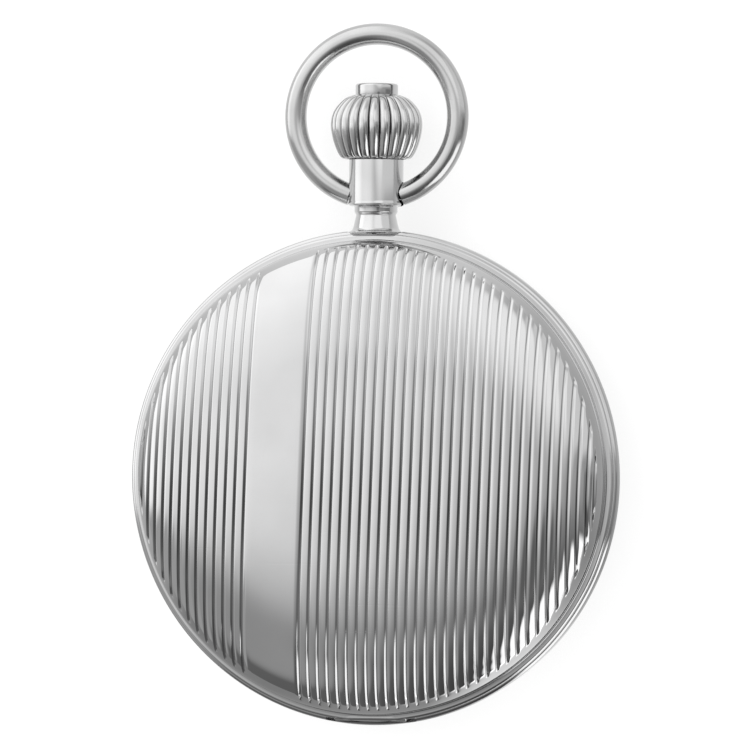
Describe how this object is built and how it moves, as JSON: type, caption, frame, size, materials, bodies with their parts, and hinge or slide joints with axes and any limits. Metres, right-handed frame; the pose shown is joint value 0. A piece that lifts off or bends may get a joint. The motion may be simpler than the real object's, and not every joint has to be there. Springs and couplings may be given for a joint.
{
  "type": "hunter pocket watch",
  "caption": "Hunter pocket watch: domed engraved lid and rear cover on hinges, wire bow, ribbed crown with release button, hand-wound lever movement inside.",
  "frame": {"origin": "centre of the flat of the rear cover, on the axis of the dial", "axes": "+Z out through the dial and the front lid, +Y to 12 o'clock, the pendant and the crown, +X to 3 o'clock"},
  "size_m": [0.048, 0.0681, 0.0141],
  "materials": {
    "case_chrome": "mirror polished",
    "polished_steel": "polished",
    "blued_steel": "heat blued",
    "rhodium_plate": "rhodium plated, striped",
    "gilt_brass": "gilt, satin",
    "white_dial": "gloss enamel",
    "mineral_glass": "clear, polished"
  },
  "bodies": {
    "case": {"case_band": "case_chrome", "pendant": "case_chrome", "front_bezel": "case_chrome", "rear_bezel": "case_chrome", "front_crystal": "mineral_glass", "rear_crystal": "mineral_glass", "front_hinge_pin": "case_chrome", "rear_hinge_pin": "case_chrome", "movement_holder": "gilt_brass", "lift_spring": "polished_steel", "sleeve_spring": "polished_steel", "main_plate": "rhodium_plate", "barrel_bridge": "rhodium_plate", "train_bridge": "rhodium_plate", "balance_cock": "rhodium_plate", "pallet_cock": "rhodium_plate", "hairspring": "blued_steel", "mainspring": "polished_steel", "dial": "white_dial", "crown_wheel_screw": "blued_steel"},
    "lid": {"front_lid": "case_chrome"},
    "back": {"rear_cover": "case_chrome"},
    "bow_ring": {"bow": "case_chrome"},
    "winding_rotor": {"winding_pinion": "polished_steel"},
    "clutch": {"sliding_pinion": "polished_steel"},
    "stem_and_crown": {"crown": "case_chrome", "winding_stem": "polished_steel"},
    "button": {"release_button": "case_chrome"},
    "sleeve": {"push_sleeve": "polished_steel"},
    "latch": {"lock_spring": "polished_steel"},
    "setting_lever": {"setting_lever": "polished_steel"},
    "yoke": {"yoke": "polished_steel"},
    "crown_wheel": {"crown_wheel": "polished_steel"},
    "ratchet": {"ratchet_wheel": "polished_steel", "ratchet_screw": "blued_steel", "barrel_arbor": "polished_steel"},
    "click": {"click": "polished_steel"},
    "barrel": {"mainspring_barrel": "gilt_brass", "barrel_cover": "gilt_brass"},
    "centre": {"centre_wheel": "gilt_brass"},
    "minute_display": {"cannon_pinion": "polished_steel", "minute_hand": "blued_steel"},
    "minute_wheel": {"minute_wheel": "gilt_brass"},
    "setting_wheel": {"setting_wheel": "polished_steel"},
    "hour_display": {"hour_wheel": "gilt_brass", "hour_hand": "blued_steel"},
    "third": {"third_wheel": "gilt_brass"},
    "fourth": {"fourth_wheel": "gilt_brass", "second_hand": "blued_steel"},
    "escape": {"escape_wheel": "polished_steel"},
    "pallets": {"pallet_fork": "polished_steel"},
    "balance": {"balance_wheel": "gilt_brass"},
    "regulator": {"regulator": "polished_steel"}
  },
  "joints": [
    {"name": "front_lid_hinge", "type": "hinge", "parent": "case", "child": "lid", "pos_m": [0, -0.02325, 0.0076], "axis": [1, 0, 0], "range_deg": [0, 100]},
    {"name": "rear_cover_hinge", "type": "hinge", "parent": "case", "child": "back", "pos_m": [0, -0.02325, 0.0056], "axis": [-1, 0, 0], "range_deg": [0, 100]},
    {"name": "bow_swing", "type": "hinge", "parent": "case", "child": "bow_ring", "pos_m": [0, 0.02745, 0.0066], "axis": [1, 0, 0], "range_deg": [-90, 90]},
    {"name": "winding_turn", "type": "hinge", "parent": "case", "child": "winding_rotor", "pos_m": [0, 0.01445, 0.0066], "axis": [0, 1, 0], "continuous": true},
    {"name": "crown_pull", "type": "slide", "parent": "winding_rotor", "child": "stem_and_crown", "axis": [0, 1, 0], "range_m": [0, 0.0012]},
    {"name": "clutch_shift", "type": "slide", "parent": "winding_rotor", "child": "clutch", "axis": [0, -1, 0], "range_m": [0, 0.0009]},
    {"name": "button_press", "type": "slide", "parent": "stem_and_crown", "child": "button", "axis": [0, -1, 0], "range_m": [0, 0.0007], "stiffness_N_per_m": 4000},
    {"name": "sleeve_push", "type": "slide", "parent": "case", "child": "sleeve", "axis": [0, -1, 0], "range_m": [0, 0.0007], "deforming": ["sleeve_spring"]},
    {"name": "latch_bend", "type": "hinge", "parent": "case", "child": "latch", "pos_m": [0.01517, 0.01273, 0.0066], "axis": [0, 0, 1], "range_deg": [0, 2.3]},
    {"name": "setting_lever_turn", "type": "hinge", "parent": "case", "child": "setting_lever", "pos_m": [0.0029, 0.01655, 0.00835], "axis": [0, 0, -1], "range_deg": [0, 25]},
    {"name": "yoke_turn", "type": "hinge", "parent": "case", "child": "yoke", "pos_m": [-0.0046, 0.01245, 0.00835], "axis": [0, 0, -1], "range_deg": [0, 11.5]},
    {"name": "crown_wheel_turn", "type": "hinge", "parent": "case", "child": "crown_wheel", "pos_m": [0, 0.01122, 0.0044], "axis": [0, 0, 1], "continuous": true},
    {"name": "ratchet_turn", "type": "hinge", "parent": "case", "child": "ratchet", "pos_m": [-0.00758, 0.0053, 0.0043], "axis": [0, 0, 1], "continuous": true, "deforming": ["mainspring"]},
    {"name": "click_swing", "type": "hinge", "parent": "case", "child": "click", "pos_m": [-0.0158, 0.00279, 0.00425], "axis": [0, 0, 1], "range_deg": [0, 10], "stiffness_Nm_per_rad": 0.001},
    {"name": "barrel_turn", "type": "hinge", "parent": "case", "child": "barrel", "pos_m": [-0.00758, 0.0053, 0.0063], "axis": [0, 0, 1], "continuous": true},
    {"name": "centre_wheel_turn", "type": "hinge", "parent": "case", "child": "centre", "pos_m": [0, 0, 0.0053], "axis": [0, 0, 1], "continuous": true},
    {"name": "minute_hand_turn", "type": "hinge", "parent": "case", "child": "minute_display", "pos_m": [0, 0, 0.0085], "axis": [0, 0, 1], "continuous": true},
    {"name": "minute_wheel_turn", "type": "hinge", "parent": "case", "child": "minute_wheel", "pos_m": [0.0039, 0.0026, 0.0085], "axis": [0, 0, 1], "continuous": true},
    {"name": "setting_wheel_turn", "type": "hinge", "parent": "case", "child": "setting_wheel", "pos_m": [0.0032, 0.00911, 0.0085], "axis": [0, 0, 1], "continuous": true},
    {"name": "hour_hand_turn", "type": "hinge", "parent": "case", "child": "hour_display", "pos_m": [0, 0, 0.0088], "axis": [0, 0, 1], "continuous": true},
    {"name": "third_wheel_turn", "type": "hinge", "parent": "case", "child": "third", "pos_m": [0.00409, -0.00479, 0.0062], "axis": [0, 0, 1], "continuous": true},
    {"name": "seconds_turn", "type": "hinge", "parent": "case", "child": "fourth", "pos_m": [0, -0.0085, 0.0059], "axis": [0, 0, 1], "continuous": true},
    {"name": "escape_wheel_turn", "type": "hinge", "parent": "case", "child": "escape", "pos_m": [-0.00384, -0.01204, 0.0064], "axis": [0, 0, 1], "continuous": true},
    {"name": "pallet_rock", "type": "hinge", "parent": "case", "child": "pallets", "pos_m": [-0.00636, -0.01041, 0.0064], "axis": [0, 0, 1], "range_deg": [-5, 5]},
    {"name": "balance_swing", "type": "hinge", "parent": "case", "child": "balance", "pos_m": [-0.0096, -0.0083, 0.0054], "axis": [0, 0, 1], "range_deg": [-270, 270], "stiffness_Nm_per_rad": 0.0000004, "deforming": ["hairspring"]},
    {"name": "regulator_turn", "type": "hinge", "parent": "case", "child": "regulator", "pos_m": [-0.0096, -0.0083, 0.0036], "axis": [0, 0, 1], "range_deg": [-20, 20]}
  ],
  "couplings": [
    {"joint": "clutch_shift", "follows": "crown_pull", "ratio": 0.75},
    {"joint": "setting_lever_turn", "follows": "crown_pull", "rad_per_m": 355.51},
    {"joint": "yoke_turn", "follows": "crown_pull", "rad_per_m": 164.1},
    {"joint": "sleeve_push", "follows": "button_press", "ratio": 1},
    {"joint": "latch_bend", "follows": "button_press", "rad_per_m": 56.5},
    {"joint": "crown_wheel_turn", "follows": "winding_turn", "ratio": 0.64286},
    {"joint": "ratchet_turn", "follows": "winding_turn", "ratio": -0.3913},
    {"joint": "barrel_turn", "follows": "seconds_turn", "ratio": -0.0025974},
    {"joint": "centre_wheel_turn", "follows": "seconds_turn", "ratio": 0.016667},
    {"joint": "minute_hand_turn", "follows": "seconds_turn", "ratio": 0.016667},
    {"joint": "minute_wheel_turn", "follows": "seconds_turn", "ratio": -0.0055556},
    {"joint": "setting_wheel_turn", "follows": "seconds_turn", "ratio": 0.0064516},
    {"joint": "hour_hand_turn", "follows": "seconds_turn", "ratio": 0.0013889},
    {"joint": "third_wheel_turn", "follows": "seconds_turn", "ratio": -0.13333},
    {"joint": "escape_wheel_turn", "follows": "seconds_turn", "ratio": -10}
  ]
}
